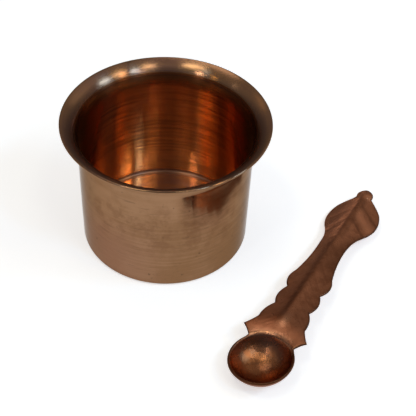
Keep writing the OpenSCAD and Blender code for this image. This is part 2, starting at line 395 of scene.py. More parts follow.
def ease(r):
    """Rise of the handle as it leaves the bowl's bend, at a distance from the bowl's axis."""
    gone = min(max(r - SHOULDER_X, 0.0), EASE_L)
    return math.tan(EASE_A) * (gone - gone**2 / (2 * EASE_L))


def pinched(x, away):
    """How far the fall has gone at a distance from the ridge, with a share of it close to the ridge."""
    leaf = smooth((x - LEAF_X + LEAF_OPEN_L) / (2 * LEAF_OPEN_L))
    share = RIDGE_PINCH + (MIDRIB_PINCH - RIDGE_PINCH) * leaf
    whole = SCALLOP1_W - RIDGE_R
    close = whole * (1 - math.exp(-away / PINCH_W)) / (1 - math.exp(-whole / PINCH_W))
    return away * (1 - share) + close * share


def handle_z(x, y):
    side = pinched(x, math.hypot(y, RIDGE_R) - RIDGE_R)
    bud = BUD_DOME * math.exp(-((x - BUD_X) ** 2 + y * y) / DOME_R**2)
    swell = SWELL * math.exp(-((x - SCALLOP1_X - SWELL_ON) ** 2 + y * y) / SWELL_R**2)
    kept = 1 - BUD_FLAT * smooth((x - BUD_NECK_X + BUD_FLAT_BACK) / BUD_FLAT_L)
    relief = crease_height(x, y) + bud + swell
    return spine(x) + ease(math.hypot(x, y)) - fall(x) * side * kept + relief


def handle_normal(x, y, step=0.05):
    along = (handle_z(x + step, y) - handle_z(x - step, y)) / (2 * step)
    over = (handle_z(x, y + step) - handle_z(x, y - step)) / (2 * step)
    size = math.sqrt(along**2 + over**2 + 1)
    return (-along / size, -over / size, 1 / size)


def bowed(start, end, t):
    """A point on the bowed line between two stations of the edge."""
    dx = end[0] - start[0]
    dy = end[1] - start[1]
    length = math.hypot(dx, dy)
    swell = 4 * start[2] * t * (1 - t)
    return (start[0] + dx * t - dy / length * swell, start[1] + dy * t + dx / length * swell)


# Places across the handle from edge to edge, closer together where the edge is rounded
MIDDLE_ACROSS = (0.0, 0.04, 0.08, 0.13, 0.19, 0.27, 0.36, 0.46, 0.56, 0.66, 0.75, 0.83)
EDGE_ACROSS = (0.89, 0.93, 0.955, 0.972, 0.985, 0.994, 1.0)
HALF_ACROSS = MIDDLE_ACROSS + EDGE_ACROSS
ACROSS = tuple(-v for v in reversed(HALF_ACROSS[1:])) + HALF_ACROSS
BEND_STEPS = (0.1, 0.2, 0.3, 0.4, 0.5, 0.6, 0.7, 0.78, 0.85, 0.91, 0.955, 0.985, 1.0)
BOTTOM_STEPS = 26
OPEN_STEPS = 110
EDGE_STEPS = 18
BUD_STEPS = 14


def handle_row(end, arc):
    """A row of the sheet across the handle: its ends, and how much of the bowl's arc it keeps."""
    row = []
    for v in ACROSS:
        bulge = (math.cos(v * NECK_ARC) - math.cos(NECK_ARC)) / (1 - math.cos(NECK_ARC))
        x = end[0] + (SHOULDER_X - BOWL_CORNER[0]) * arc * bulge
        y = end[1] * (arc * math.sin(v * NECK_ARC) / math.sin(NECK_ARC) + (1 - arc) * v)
        row.append(((x, y, handle_z(x, y)), handle_normal(x, y)))
    return row


def handle_rows():
    rows = []
    for c in range(len(EDGE) - 1):
        for i in range(EDGE_STEPS):
            t = i / EDGE_STEPS
            arc = max(0.0, 1 - (c + t) / EAR_CURVES)
            if c + i > 0:
                rows.append(handle_row(bowed(EDGE[c], EDGE[c + 1], t), arc))
    start = math.atan2(BUD_NECK_W, BUD_NECK_X - BUD_X)
    for i in range(BUD_STEPS):
        a = start * (1 - i / BUD_STEPS)
        rows.append(handle_row((BUD_X + BUD_R * math.cos(a), BUD_R * math.sin(a)), 0.0))
    return rows


def bowl_angles():
    """Angles round the bowl: first those that the handle takes up, then those of the open rim."""
    open_arc = 2 * math.pi - 2 * NECK_ARC
    opened = [NECK_ARC + open_arc * k / OPEN_STEPS for k in range(1, OPEN_STEPS)]
    return [v * NECK_ARC for v in ACROSS] + opened


def edge_distance(sheet, loop):
    """How far each point of the sheet lies from its cut edge."""
    points = np.array([p for p, n in sheet])
    starts = points[loop]
    ends = points[np.roll(loop, -1)]
    run = ends - starts
    size = np.maximum((run**2).sum(1), 1e-12)
    nearest = np.full(len(points), 1e9)
    for i in range(len(points)):
        t = np.clip(((points[i] - starts) * run).sum(1) / size, 0, 1)
        nearest[i] = np.sqrt(((starts + run * t[:, None] - points[i]) ** 2).sum(1).min())
    return nearest


def build_spoon():
    angles = bowl_angles()
    around = len(angles)
    sheet = [(bottom_point(0.0, 0.0), (0.0, 0.0, 1.0))]
    in_bowl = [1.0] * (1 + BOTTOM_STEPS * around)
    for i in range(1, BOTTOM_STEPS + 1):
        slope = BOWL_WALL_A * i / BOTTOM_STEPS
        sheet += [(bottom_point(a, slope), bowl_normal(a, slope)) for a in angles]
    for t in BEND_STEPS:
        for a in angles:
            turned = a - 2 * math.pi if a > math.pi else a
            slope = BOWL_WALL_A + (cut_slope(turned) - BOWL_WALL_A) * t
            sheet.append((bowl_point(a, slope), bowl_normal(a, slope)))
            in_bowl.append(1.0 - smooth(t / BOWL_FADE))
    rings = BOTTOM_STEPS + len(BEND_STEPS)
    rows = handle_rows()
    width = len(ACROSS)
    for row in rows:
        sheet += row
    sheet.append(((TIP_X, 0.0, handle_z(TIP_X, 0.0)), handle_normal(TIP_X, 0.0)))
    count = len(sheet)
    in_bowl += [0.0] * (count - len(in_bowl))

    def ring_at(i, j):
        return 1 + i * around + j % around

    def row_at(i, k):
        return ring_at(rings - 1, k) if i < 0 else 1 + rings * around + i * width + k

    upper = [(0, ring_at(0, j), ring_at(0, j + 1)) for j in range(around)]
    for i in range(rings - 1):
        for j in range(around):
            upper.append((ring_at(i, j), ring_at(i + 1, j), ring_at(i + 1, j + 1), ring_at(i, j + 1)))
    for i in range(-1, len(rows) - 1):
        for k in range(width - 1):
            upper.append((row_at(i, k), row_at(i + 1, k), row_at(i + 1, k + 1), row_at(i, k + 1)))
    end = len(rows) - 1
    upper += [(row_at(end, k), count - 1, row_at(end, k + 1)) for k in range(width - 1)]
    loop = [ring_at(rings - 1, j) for j in range(width - 1, around + 1)]
    loop += [row_at(i, 0) for i in range(len(rows))]
    loop += [count - 1]
    loop += [row_at(i, width - 1) for i in range(len(rows) - 1, -1, -1)]

    away = edge_distance(sheet, np.array(loop))
    points = np.array([p for p, n in sheet])
    normals = np.array([n for p, n in sheet])
    short = np.clip(EDGE_ROUND - away, 0, EDGE_ROUND)
    half = SPOON_SHEET / 2 - EDGE_ROUND + np.sqrt(EDGE_ROUND**2 - short**2)
    skin = np.vstack([points + normals * half[:, None], points - normals * half[:, None]])

    faces = list(upper)
    faces += [tuple(count + p for p in reversed(face)) for face in upper]
    for i in range(len(loop)):
        a = loop[i]
        b = loop[(i + 1) % len(loop)]
        faces.append((a, b, b + count, a + count))

    # Lean on to the edge of the leaf, turn, and stand on the table
    x = skin[:, 0]
    y = skin[:, 1] * math.cos(SPOON_LEAN) + (skin[:, 2] - BALL_Z) * math.sin(SPOON_LEAN)
    z = (skin[:, 2] - BALL_Z) * math.cos(SPOON_LEAN) - skin[:, 1] * math.sin(SPOON_LEAN)
    placed = np.stack(
        [
            SPOON_X + x * math.cos(SPOON_TURN) - y * math.sin(SPOON_TURN),
            SPOON_Y + x * math.sin(SPOON_TURN) + y * math.cos(SPOON_TURN),
            z - z.min(),
        ],
        axis=1,
    )
    piece = mesh_piece("stamped_spoon", placed, faces)
    mark_points(piece, "edge", np.tile(np.exp(-((away / EDGE_DARK_W) ** 2)), 2))
    mark_points(piece, "along", np.tile(points[:, 0], 2))
    mark_points(piece, "over", np.tile(points[:, 1], 2))
    mark_points(piece, "bowl", np.tile(in_bowl, 2))
    mark_points(piece, "under", np.repeat((0.0, 1.0), count))
    return piece


# Shader node groups


def add(tree, kind, **settings):
    made = tree.nodes.new(kind)
    for name, value in settings.items():
        setattr(made, name, value)
    return made


def feed(tree, socket, value):
    """Links an output to a socket, or sets the socket's own value."""
    if isinstance(value, bpy.types.NodeSocket):
        tree.links.new(value, socket)
    else:
        socket.default_value = value


def sums(tree, operation, first, second=0.0, third=None):
    made = add(tree, "ShaderNodeMath", operation=operation)
    feed(tree, made.inputs[0], first)
    feed(tree, made.inputs[1], second)
    if third is not None:
        feed(tree, made.inputs[2], third)
    return made.outputs[0]


def spread(tree, value, low, high, to_low=0.0, to_high=1.0):
    """Spreads a range of a value over another, and holds it there."""
    made = add(tree, "ShaderNodeMapRange", interpolation_type="SMOOTHSTEP")
    feed(tree, made.inputs["Value"], value)
    feed(tree, made.inputs["From Min"], low)
    feed(tree, made.inputs["From Max"], high)
    feed(tree, made.inputs["To Min"], to_low)
    feed(tree, made.inputs["To Max"], to_high)
    return made.outputs["Result"]


def blended(tree, amount, first, second):
    made = add(tree, "ShaderNodeMix", data_type="RGBA")
    feed(tree, made.inputs[0], amount)
    feed(tree, made.inputs[6], first)
    feed(tree, made.inputs[7], second)
    return made.outputs[2]


def both(tree, first, second):
    """A mask of what two masks share."""
    return sums(tree, "MULTIPLY", first, second)


def all_but(tree, mask):
    return sums(tree, "SUBTRACT", 1.0, mask)


def piled(tree, start, *layers):
    """Adds each value times its weight to a start."""
    for value, weight in layers:
        start = sums(tree, "MULTIPLY_ADD", value, weight, start)
    return start


def tinted(tree, copper, mask, share, colour):
    """Blends a share of a colour in where a mask is."""
    return blended(tree, sums(tree, "MULTIPLY", mask, share), copper, colour)


def noise(tree, place, scale, detail=3.0, rough=0.55):
    made = add(tree, "ShaderNodeTexNoise", noise_dimensions="3D")
    feed(tree, made.inputs["Vector"], place)
    feed(tree, made.inputs["Scale"], scale)
    feed(tree, made.inputs["Detail"], detail)
    feed(tree, made.inputs["Roughness"], rough)
    return made.outputs["Fac"]


def new_group(name, inputs, outputs):
    tree = bpy.data.node_groups.new(name, "ShaderNodeTree")
    for label, kind, value in inputs:
        socket = tree.interface.new_socket(label, in_out="INPUT", socket_type=kind)
        if value is not None:
            socket.default_value = value
    for label, kind in outputs:
        tree.interface.new_socket(label, in_out="OUTPUT", socket_type=kind)
    return tree, add(tree, "NodeGroupInput"), add(tree, "NodeGroupOutput")


# Tarnish: which part of each noise shows, how tightly specks gather, and the grain's fineness
PATCH_RANGE = (0.34, 0.68)
SPECK_RANGE = (0.66, 0.74)
GATHER_RANGE = (0.48, 0.62)
GATHER_SCALE = 2.3
GRAIN_SCALE = 5200.0


def tarnish_group():
    """Cloudy patches, small dark specks and fine grain of handled copper."""
    tree, given, out = new_group(
        "copper tarnish",
        [
            ("Place", "NodeSocketVector", None),
            ("Patch Scale", "NodeSocketFloat", 60.0),
            ("Speck Scale", "NodeSocketFloat", 900.0),
        ],
        [
            ("Patches", "NodeSocketFloat"),
            ("Specks", "NodeSocketFloat"),
            ("Grain", "NodeSocketFloat"),
        ],
    )
    place = given.outputs["Place"]
    patches = noise(tree, place, given.outputs["Patch Scale"], 5.0, 0.6)
    feed(tree, out.inputs["Patches"], spread(tree, patches, *PATCH_RANGE))
    dots = noise(tree, place, given.outputs["Speck Scale"], 2.0, 0.5)
    gather = sums(tree, "MULTIPLY", given.outputs["Patch Scale"], GATHER_SCALE)
    where = noise(tree, place, gather, 2.0, 0.5)
    specks = both(tree, spread(tree, dots, *SPECK_RANGE), spread(tree, where, *GATHER_RANGE))
    feed(tree, out.inputs["Specks"], specks)
    feed(tree, out.inputs["Grain"], noise(tree, place, GRAIN_SCALE, 2.0, 0.6))
    return tree


# Scratches: the turn and the thinness of each direction, their tilt, how many to a metre, and what shows
SCRATCH_LAYS = ((0.6, 46.0), (-0.9, 38.0), (2.2, 52.0))
SCRATCH_TILT = (0.25, 0.2)
SCRATCH_SCALE = 60.0
SCRATCH_RANGE = (0.70, 0.76)


def scratch_group():
    """Thin handling scratches in three crossing directions."""
    tree, given, out = new_group(
        "handling scratches",
        [("Place", "NodeSocketVector", None), ("Scale", "NodeSocketFloat", 1.0)],
        [("Scratches", "NodeSocketFloat")],
    )
    found = None
    for turn, thinness in SCRATCH_LAYS:
        lay = add(tree, "ShaderNodeMapping", vector_type="POINT")
        feed(tree, lay.inputs["Vector"], given.outputs["Place"])
        lay.inputs["Rotation"].default_value = (*SCRATCH_TILT, turn)
        thin_scale = SCRATCH_SCALE * thinness
        lay.inputs["Scale"].default_value = (SCRATCH_SCALE, thin_scale, thin_scale)
        lines = noise(tree, lay.outputs["Vector"], given.outputs["Scale"], 1.5, 0.5)
        thin = spread(tree, lines, *SCRATCH_RANGE)
        found = thin if found is None else sums(tree, "MAXIMUM", found, thin)
    feed(tree, out.inputs["Scratches"], found)
    return tree


# Marks round the cup: how many to a metre, how fast they change on the way round, and their detail
TURNED_MARKS = (("Lines", 1050.0, 0.5, 3.0), ("Bands", 470.0, 0.3, 3.0), ("Dashes", 1300.0, 4.0, 1.0))
DASH_RANGE = (0.62, 0.74)


def turning_group():
    """Lines that the spinning tool leaves round the cup, finer and coarser, and short broken ones."""
    tree, given, out = new_group(
        "turning lines",
        [("Place", "NodeSocketVector", None), ("Fineness", "NodeSocketFloat", 1.0)],
        [(label, "NodeSocketFloat") for label, pitch, sweep, detail in TURNED_MARKS],
    )
    parts = add(tree, "ShaderNodeSeparateXYZ")
    feed(tree, parts.inputs[0], given.outputs["Place"])
    x, y, z = parts.outputs
    squares = sums(tree, "ADD", sums(tree, "MULTIPLY", x, x), sums(tree, "MULTIPLY", y, y))
    r = sums(tree, "SQRT", squares)
    safe_r = sums(tree, "MAXIMUM", r, 0.0005)
    along = sums(tree, "ADD", r, z)
    for label, pitch, sweep, detail in TURNED_MARKS:
        step = sums(tree, "MULTIPLY", along, sums(tree, "MULTIPLY", given.outputs["Fineness"], pitch))
        lay = add(tree, "ShaderNodeCombineXYZ")
        feed(tree, lay.inputs[0], step)
        feed(tree, lay.inputs[1], sums(tree, "MULTIPLY", sums(tree, "DIVIDE", x, safe_r), sweep))
        feed(tree, lay.inputs[2], sums(tree, "MULTIPLY", sums(tree, "DIVIDE", y, safe_r), sweep))
        marks = noise(tree, lay.outputs[0], 1.0, detail, 0.6)
        feed(tree, out.inputs[label], spread(tree, marks, *DASH_RANGE) if label == "Dashes" else marks)
    return tree


TARNISH = tarnish_group()
SCRATCHES = scratch_group()
TURNING = turning_group()


def use_group(tree, group, place, **values):
    made = add(tree, "ShaderNodeGroup", node_tree=group)
    feed(tree, made.inputs["Place"], place)
    for label, value in values.items():
        made.inputs[label.replace("_", " ")].default_value = value
    return made.outputs


def new_copper(name):
    material = bpy.data.materials.new(name)
    material.use_nodes = True
    tree = material.node_tree
    tree.nodes.clear()
    shader = add(tree, "ShaderNodeBsdfPrincipled")
    shader.inputs["Metallic"].default_value = 1.0
    out = add(tree, "ShaderNodeOutputMaterial")
    tree.links.new(shader.outputs[0], out.inputs[0])
    place = add(tree, "ShaderNodeTexCoord").outputs["Object"]
    return material, tree, shader, place


def read_mark(tree, name):
    return add(tree, "ShaderNodeAttribute", attribute_name=name).outputs["Fac"]


def bump(tree, height, strength, distance):
    made = add(tree, "ShaderNodeBump")
    feed(tree, made.inputs["Height"], height)
    made.inputs["Strength"].default_value = strength
    made.inputs["Distance"].default_value = distance
    return made.outputs["Normal"]


# Copper as it shows on the cup: tan outside; browned on the lip, bright inside and pale pink on the floor,
# which are copies of the one copper with painted reflection; and dark brown for painted shade
WALL_COPPER = (0.297, 0.163, 0.088, 1.0)
WALL_FILM = (0.225, 0.116, 0.056, 1.0)
WALL_STAIN = (0.170, 0.080, 0.040, 1.0)
WALL_FLUSH = (0.290, 0.145, 0.098, 1.0)
WALL_EDGE = (0.62, 0.57, 0.52, 1.0)
LIP_COPPER_AND_REFLECTION = (0.385, 0.194, 0.096, 1.0)
LIP_FILM_AND_REFLECTION = (0.325, 0.160, 0.108, 1.0)
BROW_PAINTED_SHADE = (0.20, 0.060, 0.020, 1.0)
INSIDE_COPPER_AND_REFLECTION = (0.71, 0.272, 0.078, 1.0)
INSIDE_FILM_AND_REFLECTION = (0.36, 0.125, 0.034, 1.0)
BOTTOM_COPPER_AND_REFLECTION = (0.83, 0.61, 0.51, 1.0)
BOTTOM_FILM_AND_REFLECTION = (0.58, 0.44, 0.50, 1.0)
SPECK_BROWN = (0.10, 0.055, 0.032, 1.0)
PAINTED_SHADE_BROWN = (0.13, 0.055, 0.026, 1.0)
# Film on the cup: how far the turning lines show in it, more so inside and low on the wall
BAND_SHARE = 0.5
LINES_MEAN = 0.75
LINES_SHOWN = 0.9
LINES_INSIDE = 1.4
LINES_LOW = 0.4
FILM_START = 0.12
FILM_PATCHES = 0.55
FILM_LOW = 0.35
FILM_RANGE = (0.05, 0.95)
# Where marks on the cup's wall fade in, in metres up the wall or to the right
LOW_WALL = (0.034, 0.010)
FILM_FADE = (0.044, 0.004)
STAIN_FOOT = (0.012, 0.022)
STAIN_TOP = (0.046, 0.034)
FLUSH_SIDE = (0.006, -0.026)
FLUSH_TOP = (0.036, 0.012)
# Fineness of the stains, what shows of them, and the shares of the cup's tints
STAIN_SCALE = 210.0
STAIN_RANGE = (0.46, 0.64)
STAIN_SHARE = 0.48
FLUSH_SHARE = 0.6
DASH_SHARE = 0.32
SPECK_SHARE = 0.15
SPECK_OUTSIDE = 0.65
# Gloss of the cup: roughness and what each zone adds to it, stretched round by the turning
CUP_ROUGH = 0.06
ROUGH_LINES = 0.06
ROUGH_FILM = 0.04
ROUGH_INSIDE = 0.12
ROUGH_LIP = 0.11
ROUGH_BOTTOM = -0.06
ROUGH_PAINTED_SHADE = 0.25
TURNED_STRETCH = 0.95
QUARTER_TURN = 0.25
# Relief of the cup's skin
CUT_DEPTH = 0.35
CUT_INSIDE = 1.4
CUP_SCRATCH = -0.15
LIP_GRAIN = 5.0
LIP_GRAIN_SCALE = 1900.0
CUP_BUMP = (0.2, 0.00002)


def cup_copper():
    material, tree, shader, place = new_copper("cup_spun_copper")
    inside, lip, bottom, painted_shade, brow = (read_mark(tree, name) for name in ZONES)
    outside = all_but(tree, inside)
    parts = add(tree, "ShaderNodeSeparateXYZ")
    feed(tree, parts.inputs[0], place)
    across = parts.outputs["X"]
    up = parts.outputs["Z"]
    turned = use_group(tree, TURNING, place, Fineness=1.0)
    dulled = use_group(tree, TARNISH, place, Patch_Scale=55.0, Speck_Scale=460.0)
    rubbed = use_group(tree, SCRATCHES, place, Scale=1.0)
    lines = piled(tree, turned["Lines"], (turned["Bands"], BAND_SHARE))
    low = both(tree, spread(tree, up, *LOW_WALL), outside)
    shown = piled(tree, LINES_SHOWN, (inside, LINES_INSIDE), (low, LINES_LOW))
    streaks = both(tree, sums(tree, "SUBTRACT", lines, LINES_MEAN), shown)
    film = piled(tree, sums(tree, "ADD", streaks, FILM_START), (dulled["Patches"], FILM_PATCHES))
    film = piled(tree, film, (spread(tree, up, *FILM_FADE, 0.0, FILM_LOW), outside))
    film = spread(tree, film, *FILM_RANGE)
    wall = blended(tree, film, WALL_COPPER, WALL_FILM)
    # Brown stains half way up the wall, and a pink flush low on its left
    half_way = both(tree, spread(tree, up, *STAIN_FOOT), spread(tree, up, *STAIN_TOP))
    stains = spread(tree, noise(tree, place, STAIN_SCALE, 6.0, 0.7), *STAIN_RANGE)
    wall = tinted(tree, wall, both(tree, stains, half_way), STAIN_SHARE, WALL_STAIN)
    low_left = both(tree, spread(tree, across, *FLUSH_SIDE), spread(tree, up, *FLUSH_TOP))
    wall = tinted(tree, wall, low_left, FLUSH_SHARE, WALL_FLUSH)
    # Painted reflection: brighter copies of the copper inside, on the lip and, pale pink, on the floor
    copper = blended(tree, inside, wall, blended(tree, film, INSIDE_COPPER_AND_REFLECTION, INSIDE_FILM_AND_REFLECTION))
    # Painted shade: a dark brow under the lip
    copper = blended(tree, brow, copper, BROW_PAINTED_SHADE)
    copper = blended(tree, lip, copper, blended(tree, film, LIP_COPPER_AND_REFLECTION, LIP_FILM_AND_REFLECTION))
    copper = blended(tree, bottom, copper, blended(tree, film, BOTTOM_COPPER_AND_REFLECTION, BOTTOM_FILM_AND_REFLECTION))
    # Painted shade on the lip's dark line and in the inside corner
    copper = blended(tree, painted_shade, copper, PAINTED_SHADE_BROWN)
    dashes = both(tree, turned["Dashes"], all_but(tree, lip))
    copper = tinted(tree, copper, dashes, DASH_SHARE, SPECK_BROWN)
    specks = both(tree, dulled["Specks"], piled(tree, SPECK_SHARE, (outside, SPECK_OUTSIDE)))
    feed(tree, shader.inputs["Base Color"], blended(tree, specks, copper, SPECK_BROWN))
    shader.inputs["Specular Tint"].default_value = WALL_EDGE
    rough = piled(
        tree,
        CUP_ROUGH,
        (turned["Lines"], ROUGH_LINES),
        (film, ROUGH_FILM),
        (inside, ROUGH_INSIDE),
        (lip, ROUGH_LIP),
        (bottom, ROUGH_BOTTOM),
        (painted_shade, ROUGH_PAINTED_SHADE),
    )
    feed(tree, shader.inputs["Roughness"], rough)
    shader.inputs["Anisotropic"].default_value = TURNED_STRETCH
    shader.inputs["Anisotropic Rotation"].default_value = QUARTER_TURN
    tangent = add(tree, "ShaderNodeTangent", direction_type="RADIAL", axis="Z")
    tree.links.new(tangent.outputs[0], shader.inputs["Tangent"])
    cut = both(tree, lines, piled(tree, CUT_DEPTH, (inside, CUT_INSIDE)))
    grained = both(tree, noise(tree, place, LIP_GRAIN_SCALE, 2.0, 0.6), lip)
    height = piled(tree, cut, (rubbed["Scratches"], CUP_SCRATCH), (grained, LIP_GRAIN))
    feed(tree, shader.inputs["Normal"], bump(tree, height, *CUP_BUMP))
    return material


# Copper as it shows on the spoon: brown, paler with painted light and painted highlights, darker in the bowl
# with painted shade, golden with painted reflection up the bowl's wall, and darker below and on the edge
SPOON_COPPER = (0.47, 0.176, 0.082, 1.0)
SPOON_BROWN = (0.31, 0.108, 0.048, 1.0)
SPOON_WORN = (0.62, 0.29, 0.15, 1.0)
SPOON_PAINTED_LIGHT = (0.68, 0.262, 0.125, 1.0)
SPOON_PAINTED_HIGHLIGHT = (0.60, 0.27, 0.14, 1.0)
SPOON_DARK = (0.17, 0.062, 0.028, 1.0)
BOWL_SHADE_BROWN = (0.30, 0.104, 0.034, 1.0)
BOWL_WALL_SHADE = (0.290, 0.128, 0.070, 1.0)
BOWL_GOLDEN_REFLECTION = (0.260, 0.080, 0.022, 1.0)
SPOON_EDGE = (0.090, 0.034, 0.016, 1.0)
SPOON_GRAZED = (0.80, 0.62, 0.55, 1.0)
# Film on the spoon: shares of its clouds, smudges and streaks, and what shows of it
FILM_CLOUDS = 0.35
FILM_SMUDGES = 0.40
FILM_STREAKS = 0.25
SPOON_FILM_RANGE = (0.12, 0.88)
# Slanting streaks of the handle: their slant, length, the two sides' offset, fineness and what shows
STREAK_SLANT = 0.84
STREAK_RUN = 0.10
STREAK_SIDES = 7.0
STREAK_SCALE = 0.75
STREAK_RANGE = (0.34, 0.68)
# Ramps along the spoon's sheet and over it, in millimetres: where each starts and is full
LEAF_RAMP = (LEAF_X - 3.0, LEAF_X + 4.0)
STEM_RAMP = (EAR_X, SCALLOP2_X)
LEAF_RIGHT = (-0.4, -1.8)
HANDLE_LEFT = (1.2, 3.5)
EAR_RIGHT = (-3.0, -6.0)
NECK_RIGHT = (0.5, -1.0)
BOWL_SIDE = (4.5, 9.0)
CROWN_SIDE = (6.0, 9.0)
# Soft bands along the spoon's sheet and over it, in millimetres: centre and half width
RIDGE_SHADE = (1.3, 1.7)
MIDRIB_SHADE = (-1.0, 1.5)
VEIN1 = (LEAF_X + 13.1, 1.3)
VEIN2 = (LEAF_X + 23.1, 1.4)
VEIN_FIELD = (LEAF_X + 18.1, 4.2)
VEIN_SLANT = 0.8
EAR_BAND = (EAR_X + 2.0, 6.0)
BUD_BAND = (BUD_X + 0.5, 4.5)
NECK_BAND = ((NECK_X + LEAF_X) / 2, 17.0)
GOLDEN_BAND = (7.0, 5.0)
SPOT_OVER = (-2.6, 4.0)
SPOT_ALONG = (1.2, 4.5)
CROWN_BAND = (SHOULDER_X - 0.3, 2.0)
RIDGE_START_ALONG = (SCALLOP1_X + 1.0, 5.5)
RIDGE_START_OVER = (-0.3, 3.0)
# Shares of the tints
SHADE_SHARE = 0.42
VEIN_SHARE = 0.5
FIELD_SHARE = 0.8
LEFT_SHARE = 0.35
BUD_SHARE = 0.7
EAR_SHARE = 0.6
NECK_SHARE = 0.45
BOWL_SHARE = 0.7
UNDER_SHARE = 0.8
CROWN_SHARE = 0.8
BRIGHT_SHARE = 0.75
WORN_SHARE = 0.35
SPOON_SPECKS = 0.6
EDGE_SHARE = 0.9
# Gloss of the spoon: roughness and what adds to it
SPOON_ROUGH = 0.25
SPOON_ROUGH_FILM = 0.08
ROUGH_GRAIN = 0.06
ROUGH_BOWL = -0.03
ROUGH_BRIGHT = -0.03
# Relief of the spoon's skin, calmer under the painted highlights
SPOON_SCRATCH = -0.5
STREAK_DEPTH = 0.8
SMUDGE_DEPTH = 1.2
DENT_DEPTH = 4.5
DENT_SCALE = 520.0
BRIGHT_CALM = -0.8
SPOON_BUMP = (0.4, 0.00006)


def band(tree, value, centre, half):
    """A soft band of a value, strongest at its centre."""
    return spread(tree, sums(tree, "ABSOLUTE", sums(tree, "SUBTRACT", value, centre)), half, 0.0)


def pressed_streaks(tree, along, over):
    """Slanting streaks that run from the edge of the handle up to its ridge."""
    out = sums(tree, "ABSOLUTE", over)
    lay = add(tree, "ShaderNodeCombineXYZ")
    feed(tree, lay.inputs[0], piled(tree, out, (along, STREAK_SLANT)))
    run = piled(tree, along, (out, -STREAK_SLANT))
    feed(tree, lay.inputs[1], sums(tree, "MULTIPLY", run, STREAK_RUN))
    feed(tree, lay.inputs[2], sums(tree, "MULTIPLY", sums(tree, "SIGN", over), STREAK_SIDES))
    return spread(tree, noise(tree, lay.outputs[0], STREAK_SCALE, 4.0, 0.65), *STREAK_RANGE)


